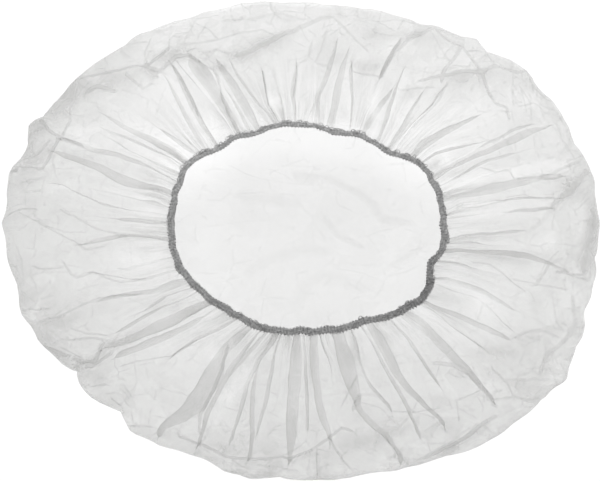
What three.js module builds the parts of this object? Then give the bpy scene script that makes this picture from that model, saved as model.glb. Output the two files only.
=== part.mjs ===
// Disposable shower cap, lying on its crown with the mouth up.
// One disc of thin film turns over at the rim and is gathered onto a loop of overlocked elastic.
import * as THREE from 'three';

// Driving dimensions, in millimetres
const rim = { halfWidth: 144, halfDepth: 135.2 };
const mouth = { halfWidth: 65.8, halfDepth: 59.2, offsetX: 3, offsetY: -6.3, height: 24 };
const filmWall = 1.1;
const seatGap = 0.3;
const bead = { halfWidth: 2.3, halfHeight: 1.9, slotDepth: 2.1, slotHeight: filmWall + 2 * seatGap };
const bandSteps = 96;
const beadSides = 10;
const lipClearance = 0.9; // the film lies level this far out from the elastic

// Bulges and dents of the rim seen from above: place and half span in degrees, push outwards
const rimDents = [
  { bearing: 22, span: 12, push: 2 },
  { bearing: 40, span: 11, push: 4.2 },
  { bearing: 57, span: 6, push: 2 },
  { bearing: 102, span: 8, push: 3 },
  { bearing: 122, span: 10, push: 2.5 },
  { bearing: 142, span: 10, push: 2.4 },
  { bearing: 156, span: 6, push: 2.4 },
  { bearing: 168, span: 6, push: 1.2 },
  { bearing: 192, span: 9, push: -3.4 },
  { bearing: 213, span: 11, push: -5.9 },
  { bearing: 230, span: 9, push: -5 },
  { bearing: 247, span: 8, push: -4.2 },
  { bearing: 260, span: 5, push: 0.8 },
  { bearing: 308, span: 12, push: 5.6 },
  { bearing: 326, span: 11, push: 4.4 },
  { bearing: 343, span: 10, push: -1.5 },
];

// The same for the elastic loop
const mouthDents = [
  { bearing: 27, span: 13, push: 1.8 },
  { bearing: 50, span: 10, push: -3.4 },
  { bearing: 74, span: 14, push: -2.9 },
  { bearing: 148, span: 17, push: 3.8 },
  { bearing: 224, span: 20, push: -1.4 },
  { bearing: 277, span: 26, push: -1.1 },
  { bearing: 321, span: 13, push: 3.8 },
  { bearing: 344, span: 11, push: -3.6 },
];

// Sections of the crown's outer face: share of the rim's reach, height above the surface
const crownSections = [
  { reach: 0.34, height: 0 },
  { reach: 0.64, height: 0 },
  { reach: 0.88, height: 0 },
  { reach: 0.955, height: 2.4 },
  { reach: 0.99, height: 6 },
  { reach: 1, height: 10.5 },
];

// Sections of the skirt's outer face: share of the way from rim to elastic, height, share of the pleats' depth
const skirtSections = [
  { way: 0.025, height: 15.5, gather: 0 },
  { way: 0.08, height: 19.5, gather: 0.2 },
  { way: 0.2, height: 22.5, gather: 0.5 },
  { way: 0.38, height: 24.2, gather: 0.85 },
  { way: 0.57, height: 25, gather: 1 },
  { way: 0.75, height: 25.2, gather: 1 },
  { way: 0.89, height: 24.8, gather: 0.75 },
];

// Pleats of the skirt: bearing in degrees, depth, and how far each runs from the elastic towards the rim
const pleats = [
  { bearing: 2, depth: 3.4, run: 0.5 },
  { bearing: 13, depth: 5.6, run: 0.78 },
  { bearing: 24, depth: 4.8, run: 0.85 },
  { bearing: 32, depth: 3.2, run: 0.42 },
  { bearing: 40, depth: 5.2, run: 0.55 },
  { bearing: 51, depth: 3.8, run: 0.45 },
  { bearing: 59, depth: 4.4, run: 0.6 },
  { bearing: 72, depth: 3.8, run: 0.5 },
  { bearing: 80, depth: 5, run: 0.62 },
  { bearing: 87, depth: 4.8, run: 0.72 },
  { bearing: 96, depth: 3.2, run: 0.48 },
  { bearing: 107, depth: 4, run: 0.46 },
  { bearing: 114, depth: 4.4, run: 0.5 },
  { bearing: 120, depth: 5.6, run: 0.68 },
  { bearing: 132, depth: 4.8, run: 0.7 },
  { bearing: 146, depth: 4.4, run: 0.65 },
  { bearing: 154, depth: 3.6, run: 0.7 },
  { bearing: 163, depth: 5.8, run: 0.8 },
  { bearing: 172, depth: 3.8, run: 0.72 },
  { bearing: 184, depth: 4.8, run: 0.7 },
  { bearing: 196, depth: 4, run: 0.6 },
  { bearing: 204, depth: 4, run: 0.9 },
  { bearing: 211, depth: 4.4, run: 0.36 },
  { bearing: 219, depth: 6.8, run: 0.97 },
  { bearing: 229, depth: 3.8, run: 0.52 },
  { bearing: 241, depth: 6.4, run: 0.95 },
  { bearing: 254, depth: 5, run: 0.78 },
  { bearing: 265, depth: 6, run: 0.85 },
  { bearing: 273, depth: 5.4, run: 0.76 },
  { bearing: 284, depth: 6.8, run: 0.95 },
  { bearing: 297, depth: 5.8, run: 0.9 },
  { bearing: 306, depth: 3.8, run: 0.6 },
  { bearing: 315, depth: 5.2, run: 0.8 },
  { bearing: 323, depth: 5, run: 0.78 },
  { bearing: 336, depth: 3.8, run: 0.5 },
  { bearing: 351, depth: 5.6, run: 0.72 },
];
const flankShare = 0.3; // height of a pleat's flank and of the valley beside it, as shares of its depth
const valleyShare = -0.3;
const pleatFade = 0.22; // share of the skirt over which a pleat dies out at its tip

const radians = THREE.MathUtils.degToRad;

function dentAt(dents, bearing) {
  return dents.reduce((sum, dent) => {
    const away = THREE.MathUtils.euclideanModulo(bearing - dent.bearing + 180, 360) - 180;
    return sum + dent.push * Math.exp(-((away / dent.span) ** 2));
  }, 0);
}

function ellipseReach(form, bearing) {
  const angle = radians(bearing);
  return 1 / Math.hypot(Math.cos(angle) / form.halfWidth, Math.sin(angle) / form.halfDepth);
}

function rimPoint(bearing, share, height) {
  const reach = share * (ellipseReach(rim, bearing) + dentAt(rimDents, bearing));
  return new THREE.Vector3(reach * Math.cos(radians(bearing)), reach * Math.sin(radians(bearing)), height);
}

// Middle line of the elastic
function mouthPoint(bearing) {
  const reach = ellipseReach(mouth, bearing) + dentAt(mouthDents, bearing);
  const x = mouth.offsetX + reach * Math.cos(radians(bearing));
  const y = mouth.offsetY + reach * Math.sin(radians(bearing));
  return new THREE.Vector3(x, y, mouth.height);
}

// Level direction straight out from the elastic
function mouthOutward(bearing) {
  const along = mouthPoint(bearing + 0.5).sub(mouthPoint(bearing - 0.5));
  return new THREE.Vector3(along.y, -along.x, 0).normalize();
}

function besideMouth(bearing, distance, height) {
  return mouthPoint(bearing).addScaledVector(mouthOutward(bearing), distance).setZ(height);
}

// Each pleat is sampled at its crest, at its flanks and in the valley before the next one
function pleatStations() {
  return pleats.flatMap((pleat, i) => {
    const next = pleats[(i + 1) % pleats.length];
    const gap = THREE.MathUtils.euclideanModulo(next.bearing - pleat.bearing, 360);
    return [
      { bearing: pleat.bearing, folds: [{ pleat, share: 1 }] },
      { bearing: pleat.bearing + 0.25 * gap, folds: [{ pleat, share: flankShare }] },
      { bearing: pleat.bearing + 0.5 * gap, folds: [pleat, next].map((p) => ({ pleat: p, share: valleyShare })) },
      { bearing: pleat.bearing + 0.75 * gap, folds: [{ pleat: next, share: flankShare }] },
    ];
  });
}

function pleatRise(station, way) {
  return station.folds.reduce((sum, { pleat, share }) => {
    const tip = 1 - pleat.run;
    return sum + share * pleat.depth * THREE.MathUtils.smoothstep(way, tip, tip + pleatFade);
  }, 0);
}

// Rings of the film's outer face from the crown to the gathered edge; level rings get a level wall
function filmRings(stations) {
  const lipReach = bead.halfWidth + lipClearance;
  const edgeReach = bead.halfWidth - bead.slotDepth + seatGap;
  const edgeHeight = mouth.height + filmWall / 2;
  const rimHeight = crownSections.at(-1).height;
  const crown = crownSections.map(({ reach, height }) => ({
    level: height === 0 ? -1 : 0,
    points: stations.map((s) => rimPoint(s.bearing, reach, height)),
  }));
  const skirt = skirtSections.map(({ way, height, gather }) => ({
    level: 0,
    points: stations.map((s) => {
      const lip = besideMouth(s.bearing, lipReach, 0);
      const point = rimPoint(s.bearing, 1, rimHeight).lerp(lip, way);
      return point.setZ(height + gather * pleatRise(s, way));
    }),
  }));
  const seat = [lipReach, edgeReach].map((distance) => ({
    level: 1,
    points: stations.map((s) => besideMouth(s.bearing, distance, edgeHeight)),
  }));
  return [...crown, ...skirt, ...seat];
}

// Triangles of a sheet of rings round a middle vertex, which comes first
function sheetTriangles(ringCount, around) {
  const triangles = [];
  const at = (ring, j) => 1 + ring * around + (j % around);
  for (let j = 0; j < around; j++) {
    triangles.push([0, at(0, j + 1), at(0, j)]);
    for (let ring = 0; ring + 1 < ringCount; ring++) {
      const [a, b] = [at(ring, j), at(ring, j + 1)];
      const [d, c] = [at(ring + 1, j), at(ring + 1, j + 1)];
      triangles.push([a, b, c], [a, c, d]);
    }
  }
  return triangles;
}

function meshGeometry(points, triangles) {
  const geometry = new THREE.BufferGeometry().setFromPoints(points);
  geometry.setIndex(triangles.flat());
  geometry.computeVertexNormals();
  return geometry;
}

// The film: its outer face, the same face set in by the wall, and the strip that joins them at the edge
function filmGeometry() {
  const stations = pleatStations();
  const rings = filmRings(stations);
  const around = stations.length;
  const outer = [new THREE.Vector3(), ...rings.flatMap((ring) => ring.points)];
  const levels = [-1, ...rings.flatMap((ring) => ring.points.map(() => ring.level))];
  const triangles = sheetTriangles(rings.length, around);
  const normals = meshGeometry(outer, triangles).getAttribute('normal');
  const inner = outer.map((point, i) => {
    const normal = new THREE.Vector3().fromBufferAttribute(normals, i);
    if (levels[i] !== 0) normal.set(0, 0, levels[i]);
    return point.clone().addScaledVector(normal, -filmWall);
  });
  const shift = outer.length;
  const lining = triangles.map(([a, b, c]) => [a + shift, c + shift, b + shift]);
  const edge = [];
  for (let j = 0; j < around; j++) {
    const a = shift - around + j;
    const b = shift - around + ((j + 1) % around);
    edge.push([a, b, b + shift], [a, b + shift, a + shift]);
  }
  return meshGeometry([...outer, ...inner], [...triangles, ...lining, ...edge]);
}

// Section of the elastic: an oval bead with a slot on its outer side for the film's edge
function beadSection() {
  const slotHalf = bead.slotHeight / 2;
  const lipAngle = Math.asin(slotHalf / bead.halfHeight);
  const turn = (2 * Math.PI - 2 * lipAngle) / beadSides;
  const slotFloor = bead.halfWidth - bead.slotDepth;
  const section = [];
  for (let i = 0; i <= beadSides; i++) {
    const angle = lipAngle + i * turn;
    section.push([bead.halfWidth * Math.cos(angle), bead.halfHeight * Math.sin(angle)]);
  }
  section.push([slotFloor, -slotHalf], [slotFloor, slotHalf]);
  return section;
}

function bandGeometry() {
  const section = beadSection();
  const sides = section.length;
  const points = [];
  const triangles = [];
  for (let i = 0; i < bandSteps; i++) {
    const bearing = (360 * i) / bandSteps;
    points.push(...section.map(([out, up]) => besideMouth(bearing, out, mouth.height + up)));
    for (let k = 0; k < sides; k++) {
      const a = i * sides + k;
      const b = i * sides + ((k + 1) % sides);
      const onward = (((i + 1) % bandSteps) - i) * sides;
      triangles.push([a, a + onward, b + onward], [a, b + onward, b]);
    }
  }
  return meshGeometry(points, triangles);
}

const clearFilm = new THREE.MeshStandardMaterial({
  color: 0xe9e9e9, roughness: 0.3, metalness: 0, transparent: true, opacity: 0.45,
});
const greyElastic = new THREE.MeshStandardMaterial({ color: 0x8b8b8b, roughness: 0.85, metalness: 0 });

function piece(name, geometry, material) {
  const mesh = new THREE.Mesh(geometry, material);
  mesh.name = name;
  return mesh;
}

const cap = new THREE.Group();
cap.name = 'shower_cap';
cap.add(piece('film_cap', filmGeometry(), clearFilm));
cap.add(piece('elastic_band', bandGeometry(), greyElastic));

// The origin is the middle of the cap's outline, on the surface it lies on
const middle = new THREE.Box3().setFromObject(cap).getCenter(new THREE.Vector3());
cap.position.set(-middle.x, -middle.y, 0);

export default cap;
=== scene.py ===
import bpy
import math
import numpy as np
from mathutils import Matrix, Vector, noise


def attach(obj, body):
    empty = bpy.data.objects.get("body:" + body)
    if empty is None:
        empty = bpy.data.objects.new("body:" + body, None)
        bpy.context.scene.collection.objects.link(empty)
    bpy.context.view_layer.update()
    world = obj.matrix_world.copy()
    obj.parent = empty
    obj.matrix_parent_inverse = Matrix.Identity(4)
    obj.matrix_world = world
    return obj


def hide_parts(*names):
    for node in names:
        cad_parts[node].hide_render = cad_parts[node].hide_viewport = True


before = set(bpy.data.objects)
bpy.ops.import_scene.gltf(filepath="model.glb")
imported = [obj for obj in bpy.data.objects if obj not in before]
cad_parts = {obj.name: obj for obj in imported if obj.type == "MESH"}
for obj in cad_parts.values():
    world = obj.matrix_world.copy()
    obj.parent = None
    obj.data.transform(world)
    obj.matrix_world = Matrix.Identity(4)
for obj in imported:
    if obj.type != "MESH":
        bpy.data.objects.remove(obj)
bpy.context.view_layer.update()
bpy.ops.object.select_all(action="DESELECT")
mm = 0.001
noise.seed_set(1)  # noise vectors are seeded from the clock unless this is set

# The view of the photograph, which also places the points given in its 600 by 481 pixels
view = {
    "elevation": 58,
    "distance": 1400,
    "lookAt": (-1.0, -4.7, 8.7),
    "lens": 173.9,
    "sensor": 36,
    "picture": (600, 481),
}
viewAngle = math.radians(view["elevation"])
viewBack = np.array([0, -math.cos(viewAngle), math.sin(viewAngle)])
viewUp = np.array([0, math.sin(viewAngle), math.cos(viewAngle)])
eye = np.array(view["lookAt"]) + viewBack * view["distance"]


def inPicture(points):
    wide, tall = view["picture"]
    seen = points - eye
    scale = view["lens"] / view["sensor"] * wide / -(seen @ viewBack)
    return np.stack([wide / 2 + seen[:, 0] * scale, tall / 2 - (seen @ viewUp) * scale], -1)


# Shape of the cap seen from above, in millimetres and degrees
capShape = {
    "rimHalfWidth": 144,
    "rimHalfDepth": 135.2,
    "mouthHalfWidth": 65.8,
    "mouthHalfDepth": 59.2,
    "mouthOffset": (3, -6.3),
    "mouthHeight": 24,
    # bearing, half span, push outwards
    "rimDents": [
        (22, 12, 2), (40, 11, 4.2), (56, 3, -1.3), (57, 6, 2), (83, 5, -0.6), (102, 8, 2.7), (109.7, 3, 1),
        (122, 10, 2.5), (126.6, 2.5, 1.1), (142, 10, 2.4), (156, 6, 2.4), (168, 6, 1.2), (192, 9, -3.4),
        (213, 11, -5.9), (230, 9, -5), (247, 8, -4.2), (260, 5, 0.8), (287, 8, 0.5), (308, 12, 6.1),
        (326, 11, 5.4), (343, 10, -0.9),
    ],
    # the same for sharp corners and nicks of the rim
    "rimKinks": [
        (12, 3, 1), (20.5, 2.5, -2.2), (32, 2.5, 1.4), (43.5, 3, 1.8), (48, 1.8, -2.6), (51.5, 2, 2),
        (64, 3, -1.2), (149, 2.5, 0.9), (153.6, 1.2, -2.4), (155.6, 1.5, 4.2), (159.5, 2.5, -0.8),
        (167, 2, 1.6), (178.5, 3.5, 1.8), (185, 3, 0.9), (199.5, 3.5, 0.8), (206, 3, 1.2), (213, 1.6, 0.6),
        (216.3, 1.6, -5), (229.5, 2.5, -3), (234, 2.4, 2.6), (240, 4, 0.9), (254.5, 3, 1), (257.6, 2, -1.1),
        (265.2, 1.8, -2.2), (299, 5, -0.9), (313, 8, -0.9), (320, 2, -0.9), (326.4, 2, 1.4), (330, 2, 0.7),
        (333.2, 1.5, -1), (340, 3, -0.5), (347, 3, -0.8), (353.5, 2.5, -2),
    ],
    "mouthDents": [
        (1, 6, -1.5), (13, 5, -0.6), (23, 5, -1.8), (27, 13, 1.8), (48.5, 9, -4.4), (73, 4, -0.6),
        (74, 14, -2.9), (79.5, 4, -0.7), (100.5, 4, 0.5), (116, 4, -0.9), (126, 4, 0.5), (135, 5, -1.7),
        (148, 17, 3.8), (159.5, 3, -0.7), (180, 7, -0.6), (201, 4, 0.7), (224, 20, -1.4), (249, 8, 0.7),
        (277, 26, -1.1), (296, 4, -1.2), (313, 3, -0.7), (317.5, 4, -1.3), (321, 13, 3.8), (340, 6.5, -4.2),
    ],
}


def bearingGap(bearing, place):
    return (bearing - place + 180) % 360 - 180


# A power of 2 rounds a dent and a power of 1 brings it to a point
def dentAt(dents, bearing, power=2):
    push = 0
    for place, span, most in dents:
        push = push + most * np.exp(-np.abs(bearingGap(bearing, place) / span) ** power)
    return push


def towards(bearing):
    angle = np.radians(bearing)
    return np.stack([np.cos(angle), np.sin(angle)], -1)


def ellipseReach(halfWidth, halfDepth, bearing):
    aside, along = towards(bearing).T
    return 1 / np.hypot(aside / halfWidth, along / halfDepth)


def rimLine(bearing):
    s = capShape
    reach = ellipseReach(s["rimHalfWidth"], s["rimHalfDepth"], bearing)
    reach = reach + dentAt(s["rimDents"], bearing) + dentAt(s["rimKinks"], bearing, 1)
    return reach[:, None] * towards(bearing)


def mouthLine(bearing, outwards=0.0):
    s = capShape
    reach = ellipseReach(s["mouthHalfWidth"], s["mouthHalfDepth"], bearing)
    reach = reach + dentAt(s["mouthDents"], bearing) + outwards
    return s["mouthOffset"] + reach[:, None] * towards(bearing)


# How far out points lie, as a share of the way to the rim
def rimShare(points):
    return np.hypot(points[:, 0] / capShape["rimHalfWidth"], points[:, 1] / capShape["rimHalfDepth"])


def smooth(low, high, value):
    t = np.clip((value - low) / (high - low), 0, 1)
    return t * t * (3 - 2 * t)


def facing(bearing, place):
    return 0.5 + 0.5 * np.cos(np.radians(bearing - place))


def onFloor(seen):
    angle = np.radians(np.asarray(seen, float))
    return np.degrees(np.arctan2(np.sin(angle) / math.sin(viewAngle), np.cos(angle))) % 360


def noiseRow(places, seed):
    return np.array([noise.noise(Vector((p[0] + seed, p[1] - seed, seed))) for p in places])


def unit(rows):
    return rows / np.linalg.norm(rows, axis=1)[:, None]


def midSteps(count):
    return (np.arange(count) + 0.5) / count


# The film: a disc turned over at the rim, its skirt laid in folds towards the elastic
filmShape = {
    "flatDiameter": 460,
    "thickness": 0.12,
    "turnColumns": 8,
    "gapColumns": 5,
    "edgeInside": 0.4,  # the edge ends this far out from the middle of the elastic
    "foldSoftening": 0.02,  # way over which a fold's bends are rounded
    "tipFade": 0.07,  # way over which a fold's end runs out
    "leastStep": 0.35,  # degrees from the middle of one fold to the next
    # seed, pace along a fold, pace from fold to fold, then degrees or a share of the width
    "foldWander": [(1.7, 5, 7.3, 0.3), (9.1, 14, 7.3, 0.16)],
    "widthWander": (4.2, 7, 3.1, 0.25),
    "turnEase": 0.7,
    "openWidth": 0.6,  # a fold this wide is laid right over
    # degrees that a fold takes where it has no width, more at the rim, and the way by which that ends
    "unfolded": 0.35, "unfoldedAtRim": 1.1, "unfoldedBy": 0.35,
    # how high a fold stands: at least, more where it is wide, and how wide that is
    "liftLeast": 0.9, "liftMore": 1.9, "liftWidth": 4,
    "climb": (0.1, 0.9), "liftRun": 0.75,  # shares of its turn and of the gap beside it
    "rimTurn": 8,  # film taken up in turning over at the rim
    # creases push the film outwards at the rim, from this reach of the crown to this way along the skirt
    "turnFrom": 0.92, "levelBy": 0.16,
    # folds lie down close to the elastic: by how much, from which way to which, and what is left of gathers
    "calm": 0.9, "calmWays": (0.88, 0.985), "calmGathers": 0.25,
    "heldRings": (0.8, 0.6, 0.4, 0.25, 0.12, 0.05),  # share of crumple left next to the elastic
    # reach of the rim, height, skirt columns for each point round
    "crownRings": [
        *[(0.04 * k, 0, 8 if k < 4 else 4 if k < 8 else 2) for k in range(1, 21)], (0.84, 0.1, 2),
        (0.875, 0.4, 1), (0.91, 1, 1), (0.945, 2.1, 1), (0.97, 3.6, 1), (0.988, 5.9, 1), (0.998, 8.6, 1),
    ],
    # ways from rim to elastic at which the skirt has its rings
    "skirtWays": [
        0, 0.012, 0.028, 0.05, 0.075, *np.linspace(0.1, 0.34, 10), *np.linspace(0.37, 0.9, 16),
        0.925, 0.945, 0.962, 0.976, 0.988, 1,
    ],
    # way from rim to elastic, height
    "skirtProfile": [
        (0, 11), (0.015, 14), (0.04, 16.6), (0.08, 18.9), (0.14, 20.9), (0.22, 22.4), (0.36, 23.8),
        (0.55, 24.8), (0.75, 25), (0.9, 24.6), (1, 24),
    ],
    # each fold's way from the rim, seen bearing and width, from the elastic outwards
    "folds": [
        ((0.6, 2.3, 0.5), (0.45, 2.2, 0.9), (0.33, 2, 0.5)),
        ((1, 5.4, 0.7), (0.88, 6.5, 0.9), (0.72, 5.3, 0.9), (0.5, 5.1, 1.2), (0.3, 4.5, 0.7)),
        ((1, 10.6, 1.5), (0.85, 9.7, 2.4), (0.66, 9.1, 3.3), (0.5, 9.3, 2.4), (0.38, 9.9, 1.8),
         (0.27, 9.4, 1.2)),
        ((1, 14, 0.5), (0.85, 13.6, 0.9), (0.72, 14.2, 0.5)),
        ((1, 16.8, 0.8), (0.8, 17.4, 1.3), (0.62, 17.8, 1.2), (0.47, 17.4, 0.5)),
        ((1, 20, 1.2), (0.85, 20.3, 2), (0.65, 20.4, 3.2), (0.5, 20.4, 3.6), (0.35, 20.6, 3.4),
         (0.2, 20.7, 2.2)),
        ((0.62, 23, 0.5), (0.45, 23.1, 0.8), (0.27, 22.7, 0.5)),
        ((1, 29.4, 0.6), (0.85, 27.5, 0.9), (0.72, 25.2, 0.7), (0.62, 24, 0.5)),
        ((1, 33.6, 3), (0.86, 34, 4.4), (0.76, 33, 3), (0.65, 32, 1.6), (0.54, 31.3, 0.6)),
        ((0.9, 42.6, 0.8), (0.75, 42.5, 1.4), (0.62, 42.3, 1), (0.45, 43.2, 0.5)),
        ((1, 44.2, 1), (0.88, 45, 1.1), (0.75, 46.5, 0.9), (0.6, 47.3, 0.6)),
        ((1, 50.3, 2), (0.85, 52.5, 2.4), (0.75, 54.2, 2), (0.62, 55.5, 1.3), (0.49, 56.5, 0.6)),
        ((1, 58.8, 1.6), (0.86, 58.2, 1.8), (0.76, 57.4, 1.6), (0.68, 56.9, 0.8)),
        ((1, 61.4, 0.8), (0.86, 61.6, 0.9), (0.7, 61, 0)),
        ((0.57, 62.4, 0.8), (0.45, 62, 1.6), (0.3, 61.5, 1)),
        ((1, 66, 0.8), (0.85, 68.3, 1), (0.75, 70, 1), (0.66, 71.8, 1.3), (0.57, 73.4, 1.2)),
        ((1, 76.9, 4.2), (0.8, 76.4, 3.6), (0.65, 76.1, 2.8), (0.55, 75.9, 2), (0.47, 75.4, 1)),
        ((1, 83, 1.2), (0.88, 84.6, 1.5), (0.8, 84.6, 3.2), (0.7, 82.2, 3), (0.6, 80.8, 2.2),
         (0.5, 80.2, 1.7), (0.39, 79.7, 0.8)),
        ((1, 91, 0.8), (0.93, 89, 0.9), (0.87, 86.8, 0.7)),
        ((1, 96.8, 1), (0.9, 96, 1.2), (0.8, 96, 2.2), (0.7, 94.7, 1.7), (0.6, 93.4, 0.9)),
        ((1, 102.4, 1), (0.87, 102, 0.9)),
        ((1, 105.6, 0), (0.9, 107.8, 0), (0.87, 108.3, 0.6), (0.77, 107.4, 1), (0.64, 106, 0.6)),
        ((1, 107.6, 0.8), (0.93, 109.6, 1.2), (0.85, 112, 1.8), (0.75, 113.5, 1.8), (0.62, 114.7, 1.4),
         (0.53, 115.2, 0.8)),
        ((1, 117, 2.6), (0.8, 117.6, 3.2), (0.66, 118, 2.8), (0.52, 118.8, 2)),
        ((1, 121.2, 1.6), (0.85, 121, 2), (0.72, 121.3, 1.2)),
        ((1, 126.6, 3.2), (0.85, 126, 3.6), (0.7, 125, 4.2), (0.55, 124.4, 4.8), (0.43, 125, 4)),
        ((0.6, 128.8, 0.5), (0.42, 129, 0.7)),
        ((1, 138.4, 1.5), (0.85, 136.9, 2), (0.7, 134.5, 2.4), (0.55, 132.2, 2), (0.43, 130.6, 1)),
        ((1, 143.4, 1), (0.85, 141, 1.4), (0.7, 138.3, 1.8), (0.57, 136, 1.4), (0.45, 134.4, 0.8)),
        ((1, 147.2, 0.7), (0.85, 147.2, 0.9), (0.74, 147.3, 0.5)),
        ((1, 151.8, 3.6), (0.8, 151.6, 3.6), (0.65, 151.8, 3), (0.5, 152.4, 2.2), (0.4, 152.3, 1)),
        ((0.85, 154.6, 0.5), (0.65, 155, 0.7), (0.46, 155.6, 0.5)),
        ((1, 157.4, 2), (0.8, 158, 1.6), (0.66, 158.2, 1), (0.52, 157.4, 0.9), (0.41, 156.7, 0.5)),
        ((1, 161.2, 0.8), (0.8, 160.4, 1), (0.62, 160.8, 1.3), (0.45, 161.9, 1.3), (0.27, 161.8, 1)),
        ((1, 166, 2.8), (0.85, 166.8, 5), (0.72, 166.9, 5.6), (0.6, 166.4, 4.4), (0.45, 165.3, 3.2),
         (0.27, 164.9, 1.5)),
        ((1, 172.5, 0.6), (0.88, 171.6, 0.6)),
        ((0.76, 176, 0.8), (0.6, 175, 1.6), (0.45, 173.3, 1.3), (0.28, 170.9, 0.6)),
        ((1, 178.5, 0.9), (0.85, 178.8, 1), (0.73, 179.1, 0.6)),
        ((1, 185.2, 2.3), (0.85, 184.8, 2.3), (0.72, 184.6, 2.6), (0.55, 185.6, 2.6), (0.47, 186.5, 1.4)),
        ((1, 192.6, 0.5), (0.87, 193.9, 0.9), (0.7, 195.2, 0.8), (0.6, 193.5, 0), (0.4, 191.5, 0)),
        ((1, 198.2, 0.9), (0.88, 199, 1), (0.75, 199.9, 1.4), (0.65, 198, 1.6), (0.57, 195.8, 1.4),
         (0.47, 194, 1)),
        ((1, 203.6, 2.4), (0.85, 204.2, 2.6), (0.74, 204.8, 1.4), (0.6, 203, 1.2), (0.47, 202, 0.8)),
        ((1, 207.9, 1.6), (0.8, 207.5, 1.7), (0.71, 208.4, 2), (0.62, 209.3, 1)),
        ((0.74, 210.2, 0.5), (0.55, 211.2, 0.8), (0.4, 211, 0.8)),
        ((1, 217.4, 3.4), (0.85, 216.6, 5), (0.7, 216, 6), (0.55, 215.2, 5), (0.4, 214.1, 4),
         (0.27, 213.5, 2.6)),
        ((0.8, 221.6, 1.4), (0.6, 219.8, 2.4), (0.45, 218.4, 2.6), (0.3, 216.8, 2)),
        ((1, 232.6, 0.8), (0.9, 231, 1), (0.8, 228.6, 1.6), (0.68, 227, 2), (0.56, 226.2, 1.3),
         (0.47, 226, 0.6)),
        ((1, 240, 2.6), (0.85, 238, 2.8), (0.74, 237, 3), (0.57, 238.5, 5.6), (0.39, 239.2, 6.6),
         (0.25, 239.2, 6), (0.17, 238.2, 4), (0.11, 236.6, 2.4), (0.075, 235.6, 1.4)),
        ((1, 245.2, 1.2), (0.8, 243.4, 2.2), (0.57, 243, 3.4), (0.4, 243.4, 2.6), (0.25, 243.4, 2.2),
         (0.14, 244.4, 1.8), (0.08, 244.8, 1)),
        ((1, 249, 1), (0.85, 246.8, 1.6), (0.72, 245.2, 1.8), (0.6, 244.2, 1)),
        ((1, 252.2, 4.4), (0.88, 251.8, 4.8), (0.75, 250.4, 2.8), (0.55, 250.3, 1.6), (0.35, 251.6, 1.3),
         (0.16, 252, 0.7)),
        ((0.68, 251.4, 0.8), (0.55, 252.5, 1.3), (0.4, 254.3, 1.5), (0.25, 256, 1.6), (0.1, 257.1, 0.9)),
        ((1, 255.4, 0.6), (0.8, 255.8, 1.2), (0.6, 257.2, 1.6), (0.45, 257.8, 1.5), (0.27, 257.8, 0.9)),
        ((1, 263.5, 3.6), (0.8, 264.4, 4.8), (0.65, 265, 5), (0.5, 265.6, 4.2), (0.35, 266, 3.4),
         (0.2, 266.3, 2.6), (0.12, 266.5, 1.6)),
        ((1, 267.4, 1.2), (0.8, 269, 1.4), (0.62, 270, 1.4), (0.45, 270.7, 1.2), (0.3, 271, 0.7)),
        ((1, 272.4, 4), (0.8, 272.2, 4), (0.65, 273, 3.1), (0.5, 273.8, 2.7), (0.35, 274.8, 2.5),
         (0.21, 276.7, 1.6)),
        ((1, 276.2, 0.5), (0.9, 276.8, 0.7), (0.79, 278.8, 0.6)),
        ((1, 284, 6), (0.8, 284.6, 7.4), (0.65, 284.6, 6.6), (0.55, 285, 5), (0.46, 285.8, 2.4),
         (0.38, 285.7, 1.6), (0.28, 287.6, 2.8), (0.15, 290.5, 2.2), (0.06, 292.3, 1)),
        ((1, 292.6, 0.6), (0.85, 291.6, 1), (0.7, 290.4, 0.8), (0.55, 291, 0.8), (0.45, 292.4, 0.9),
         (0.35, 294.4, 0.6)),
        ((1, 298, 1.5), (0.7, 297.8, 1.5), (0.5, 297.9, 1.7), (0.35, 298.4, 1.3), (0.15, 298.3, 0.7)),
        ((1, 301.2, 4.2), (0.85, 300.8, 4.2), (0.7, 300.4, 3.6), (0.55, 300.3, 2.8), (0.42, 301, 1.8),
         (0.3, 302.3, 1), (0.17, 304.2, 0.7)),
        ((1, 311.2, 1.2), (0.85, 311, 1.5), (0.7, 310, 1.7), (0.55, 309.1, 1.3), (0.4, 308.5, 0.7)),
        ((1, 318, 3.2), (0.8, 317.4, 3.3), (0.65, 316.9, 3.1), (0.5, 316.4, 2.4), (0.38, 316.4, 1.5),
         (0.18, 316, 0.7)),
        ((1, 324.8, 0.8), (0.9, 325, 1.2), (0.75, 323.9, 1.3), (0.6, 323.8, 1), (0.47, 323.9, 0.8)),
        ((1, 326.6, 2), (0.87, 327, 1.8), (0.72, 327.9, 1.4), (0.55, 328.8, 1.3), (0.42, 329.2, 0.9)),
        ((0.7, 335.7, 0.6), (0.55, 333.4, 0.9), (0.4, 331.3, 0.6)),
        ((1, 336.8, 0.6), (0.85, 338, 1), (0.68, 338, 1.3), (0.55, 337.3, 1.1), (0.46, 336.4, 0.6)),
        ((1, 344.6, 0.6), (0.82, 344.4, 0.8)),
        ((1, 349, 3.2), (0.87, 349.8, 2.2), (0.75, 349.7, 2.3), (0.6, 350.2, 1.9), (0.47, 350.3, 1.3),
         (0.33, 349.8, 0.8), (0.2, 348.5, 0.6)),
        ((1, 352.8, 0.9), (0.8, 352.9, 0.8)),
        ((1, 354.6, 0.8), (0.75, 355.8, 1.1), (0.55, 356.5, 0.8)),
    ],
}

foldCount = len(filmShape["folds"])
turnColumns, gapColumns = filmShape["turnColumns"], filmShape["gapColumns"]
perFold = turnColumns + gapColumns
columns = foldCount * perFold
foldOf = np.repeat(np.arange(foldCount), perFold)
middleColumn = np.arange(foldCount) * perFold + turnColumns // 2
foldLean = [1 if i % 2 == 0 else -1 for i in range(foldCount)]  # neighbours are laid over to opposite sides
skirtWays = np.array(filmShape["skirtWays"])


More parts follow.
